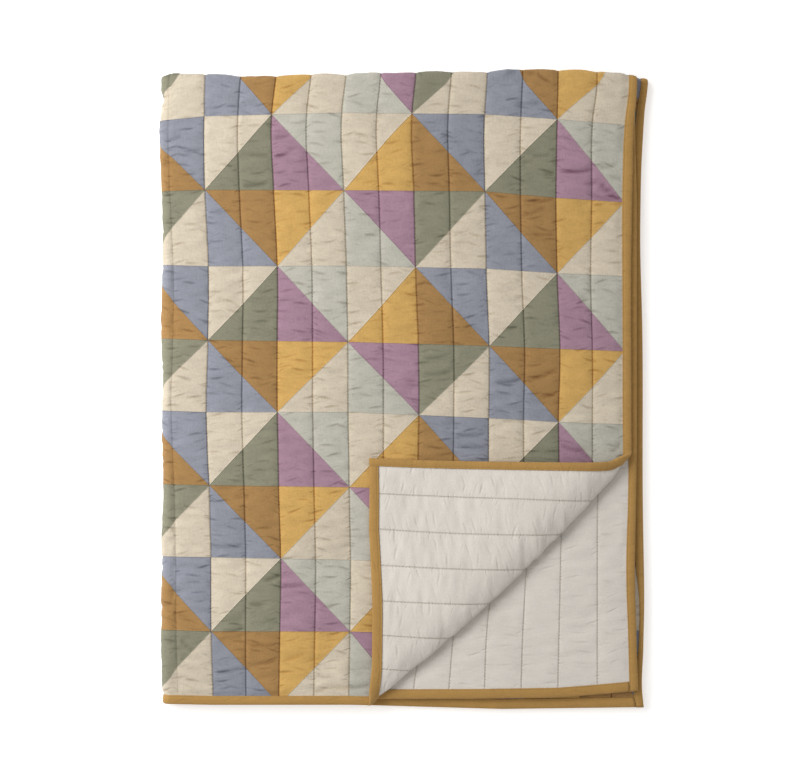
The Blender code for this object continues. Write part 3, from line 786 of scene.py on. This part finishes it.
def plainCotton(name, code, strength, groove, crinkled):  # the same washed cotton in one colour, with painted shade in its grooves and crinkles
    material, tree, shader = newMaterial(name)
    place = addNode(tree, "UVMap", {"uv_map": "patches"}, {})
    line, away = quiltingGroove(tree, place)
    dips = crinkles(tree, place, away)
    # painted shade in the grooves and crinkles; the same masks also make the bump
    finishCloth(tree, shader, place, linearColour(code),
                ((line, groove), (dips, weave["shade"]["plainCrinkle"] * crinkled)),
                ((line, -groove), (dips, -crinkled)), strength)
    return material


thread = {
    "twist": 90.0,  # how fine the twist shows
    "light": 1.4,  # the twist's lighter side
    "paintedShadeTint": "#d0d0d0",  # painted shade: darkens each patch's colour further
    "roughness": 0.8,
}


def sewingThread(name, code):  # twisted cotton thread, darker than the cloth and dull
    material, tree, shader = newMaterial(name)
    place = addNode(tree, "TexCoord", {}, {}, "Object")
    twist = addNode(tree, "TexNoise", {}, {"Vector": place, "Scale": thread["twist"], "Detail": 2.0})
    colour = addNode(tree, "ValToRGB", {}, {"Fac": twist})
    stops = colour.node.color_ramp.elements
    stops[0].color = linearColour(code)
    stops[1].color = [min(1.0, part * thread["light"]) for part in linearColour(code)]
    fillSockets(tree, shader, {"Base Color": colour, "Roughness": thread["roughness"]})
    return material


def paintedShadeThread():  # fine cotton thread coloured as the patch under it in painted shade: that colour times itself, darkened
    material, tree, shader = newMaterial("paintedShadeThread")
    place = addNode(tree, "UVMap", {"uv_map": "patches"}, {})
    colour = patchworkColour(tree, place)[0]
    colour = addNode(tree, "Mix", multiplied, {0: 1.0, 6: colour, 7: colour}, 2)
    colour = addNode(tree, "Mix", multiplied, {0: 1.0, 6: colour, 7: linearColour(thread["paintedShadeTint"])}, 2)
    fillSockets(tree, shader, {"Base Color": colour, "Roughness": thread["roughness"]})
    return material


def makeSheet(name, side, material, node):
    bm = flatSheet(side)
    layPatches(bm)
    foldPiece(bm)
    return finishPiece(bm, name, material, node)


binding = {  # a strip folded over the edge and stitched down
    "wall": 0.0010,
    "clearance": 0.0003,
    # Its face in mm, inset and height, from its inner edge out. The dip is the edge stitching.
    "face": ((12.5, -1.0), (12.5, -0.45), (12.0, -0.1), (11.3, 0.0), (10.7, -0.35), (10.0, 0.1),
             (7.75, 0.5), (4.375, 0.5), (1.76, 0.1)),
    "step": 0.0035,
    "ripples": ((0.00022, 0.012, 21), (0.000132, 0.006, 23)),  # height, size and seed
}


def bindingSection():  # (distance in from the edge, height), round the strip
    wall = binding["wall"]
    low = cloth["backStitched"] - binding["clearance"] - wall
    high = cloth["faceStitched"] + binding["clearance"] + wall
    upper = [(inset * mm, high + level * mm) for inset, level in binding["face"]]
    curve = upper[-1][0]
    middle = (high + low) / 2
    reach = (high - low) / 2
    turn = [(curve * (1 - math.sin(angle)), middle + reach * math.cos(angle))
            for angle in (math.pi * share / 6 for share in range(1, 6))]
    lower = [(inset, low + high - level) for inset, level in reversed(upper)]
    slot = [(wall, low + wall), (wall, high - wall)]
    return upper + turn + lower + slot


def makeStrip(name, place, start, end, ends, material, node):
    count = round((end - start) / binding["step"])
    stations = list(np.linspace(start, end, count + 1))
    for reach, step in (stepping["sideFold"], stepping["topFold"]) if ends else (stepping["topFold"],):
        stations = [station for station in stations if abs(station) > reach] + band(reach, step)
    stations.sort()
    section = bindingSection()
    bm = bmesh.new()
    ring = [bm.verts.new(place(inset, level, stations[0])) for inset, level in section]
    edges = [bm.edges.new((vert, ring[number - 1])) for number, vert in enumerate(ring)]
    bmesh.ops.triangle_fill(bm, edges=edges, use_beauty=True)
    for before, station in zip(stations, stations[1:]):
        grown = bmesh.ops.extrude_edge_only(bm, edges=edges)["geom"]
        verts = {part for part in grown if isinstance(part, bmesh.types.BMVert)}
        edges = [part for part in grown
                 if isinstance(part, bmesh.types.BMEdge) and verts.issuperset(part.verts)]
        shift = [b - a for a, b in zip(place(0.0, 0.0, before), place(0.0, 0.0, station))]
        bmesh.ops.translate(bm, verts=list(verts), vec=shift)
    bmesh.ops.triangle_fill(bm, edges=edges, use_beauty=True)
    bmesh.ops.recalc_face_normals(bm, faces=bm.faces[:])
    layPatches(bm)
    spot = np.array([vert.co for vert in bm.verts])
    ripple = sum(height * hills(spot[:, 0], spot[:, 1], (size, size), seed)
                 for height, size, seed in binding["ripples"])
    outside = np.abs(spot[:, 2]) > abs(cloth["backStitched"]) + binding["clearance"] + 0.1 * mm
    for vert, lift, out in zip(bm.verts, ripple, outside):
        if out:
            vert.co.z += math.copysign(lift, vert.co.z)
    foldPiece(bm)
    return finishPiece(bm, name, material, node)


def makeBindings(material):
    inside = bindingWidth + binding["clearance"]
    sides, ends = (footEdge, headEdge, False), (leftEdge + inside, rightEdge - inside, True)
    strips = {
        "right": (lambda inset, level, at: (rightEdge - inset, at, level), sides),
        "left": (lambda inset, level, at: (leftEdge + inset, at, level), sides),
        "foot": (lambda inset, level, at: (at, footEdge + inset, level), ends),
        "head": (lambda inset, level, at: (at, headEdge - inset, level), ends),
    }
    return [makeStrip(name + "Binding", place, *span, material, "binding_" + name)
            for name, (place, span) in strips.items()]


stitch = {
    "pitch": 0.0042,
    "length": 0.0027,
    "width": 0.0009,
    "height": 0.0005,
    "sink": 0.00005,
    "firstSink": 0.00028,  # the line by the side fold is pulled in deeper
    "lineWidth": 0.002,
    "seed": 31,
    "aside": 0.00012,  # how unevenly they lie, across and along their line
    "slip": 0.00025,
    "lengths": (0.85, 1.1),
    "bead": ((0, -1, -0.3), (-1, 0, 0), (0, 0, 1), (1, 0, 0), (0, 0, -0.5), (0, 1, -0.3)),
    "faces": ((0, 2, 1), (0, 3, 2), (0, 4, 3), (0, 1, 4), (5, 1, 2), (5, 2, 3), (5, 3, 4), (5, 4, 1)),
}


def makeStitches(name, side, material):  # a small bead of thread for each stitch that shows
    random = np.random.default_rng(stitch["seed"] + side)
    start, end = footEdge + bindingWidth, headEdge - bindingWidth
    count = int((end - start) / stitch["pitch"])
    lines = [line for line in stitchLines() if leftEdge + bindingWidth < line < rightEdge - bindingWidth]
    x = np.repeat(lines, count) + random.normal(0, stitch["aside"], len(lines) * count)
    y = np.tile(start + (np.arange(count) + 0.5) * stitch["pitch"], len(lines))
    y += random.normal(0, stitch["slip"], len(y))
    half = stitch["length"] / 2 * random.uniform(*stitch["lengths"], len(y))
    first = np.abs(x - quilt["firstSeam"] + quilt["frontColumn"] / 2) < stitch["lineWidth"]
    base = outerHeight(x, y, side) - stitch["sink"] - np.where(first, stitch["firstSink"], 0)
    wide, high = stitch["width"] / 2, stitch["height"]
    corners = [(x + dx * wide, y + dy * half, (base + dz * high) * side) for dx, dy, dz in stitch["bead"]]
    px, py, pz = (np.stack(part, axis=1).ravel() for part in zip(*corners))
    points, _ = folded(*toCrease(*drift(px, py)), pz)
    starts = np.arange(len(x))[:, None, None] * len(corners)
    triangles = (np.array(stitch["faces"])[None] + starts).reshape(-1, 3)
    if side > 0:
        triangles = triangles[:, ::-1]
    mesh = bpy.data.meshes.new(name)
    mesh.from_pydata(points.tolist(), [], triangles.tolist())
    mesh.materials.append(material)
    patches = np.stack(patchPlace(np.repeat(x, len(corners)), np.repeat(y, len(corners))), axis=1)
    layer = mesh.uv_layers.new(name="patches")
    layer.data.foreach_set("uv", patches[triangles.ravel()].ravel())
    piece = placeObject(name, mesh)
    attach(piece, "root")
    print(name, len(triangles), "faces")
    return piece


patchwork = makeSheet("quiltedPatchwork", 1, piecedCotton(), "quilted_patchwork")
# after the colour: fleck strength, then groove and crinkle, each both painted shade and bump
backing = makeSheet("backingCloth", -1, plainCotton("backingCotton", "#d9d2c9", 0.45, 0.6, 0.6), "backing")
bindings = makeBindings(plainCotton("bindingCotton", "#ad864b", 0.8, 0.0, 0.4))
threads = [makeStitches("quiltingThread", 1, paintedShadeThread()),
           makeStitches("quiltingThreadBack", -1, sewingThread("oliveThread", "#8f8a78"))]


studio = {
    "width": 1.088,  # what the camera takes in across, at the quilt's upper face
    "face": 0.02,
    "centre": (-0.0065, 0.0099),
    "cameraHeight": 3.2,
    "floor": "#f4f3f1",
    "floorSize": 8.0,
    "floorRoughness": 0.9,
    "glow": 0.42,
    "air": 0.45,
    "lights": {  # place, size and power
        "softbox": ((-1.25, 1.7, 1.65), 1.4, 26.0),
        "sideLight": ((-1.3, 0.1, 1.0), 1.0, 15.5),
        "fill": ((1.6, -1.2, 2.4), 1.6, 3.0),
    },
}


def makeFloor():
    bpy.ops.mesh.primitive_plane_add(size=studio["floorSize"], location=(0, 0, 0))
    floor = bpy.context.object
    floor.name = "studioFloor"
    material, tree, shader = newMaterial("litAcrylic")  # white acrylic, softly lit from below
    fillSockets(tree, shader, {"Base Color": linearColour(studio["floor"]),
                               "Roughness": studio["floorRoughness"],
                               "Emission Color": (1, 1, 1, 1), "Emission Strength": studio["glow"]})
    floor.data.materials.append(material)


def addLight(name, place, size, energy):
    light = bpy.data.lights.new(name, "AREA")
    light.shape = "DISK"
    light.size, light.energy = size, energy
    lamp = placeObject(name, light)
    lamp.location = place
    lamp.rotation_euler = (-lamp.location).to_track_quat("-Z", "Y").to_euler()


def makeStudio():
    makeFloor()
    for name, settings in studio["lights"].items():
        addLight(name, *settings)
    world = bpy.data.worlds.new("studioAir")
    world.use_nodes = True
    background = world.node_tree.nodes["Background"]
    fillSockets(world.node_tree, background, {"Color": (1, 1, 1, 1), "Strength": studio["air"]})
    bpy.context.scene.world = world
    data = bpy.data.cameras.new("overhead")
    data.sensor_fit = "HORIZONTAL"
    data.angle = 2 * math.atan(studio["width"] / 2 / (studio["cameraHeight"] - studio["face"]))
    camera = placeObject("overhead", data)
    camera.location = (*studio["centre"], studio["cameraHeight"])
    bpy.context.scene.camera = camera
    bpy.context.scene.view_settings.view_transform = "Standard"


makeStudio()
print("studio ready")
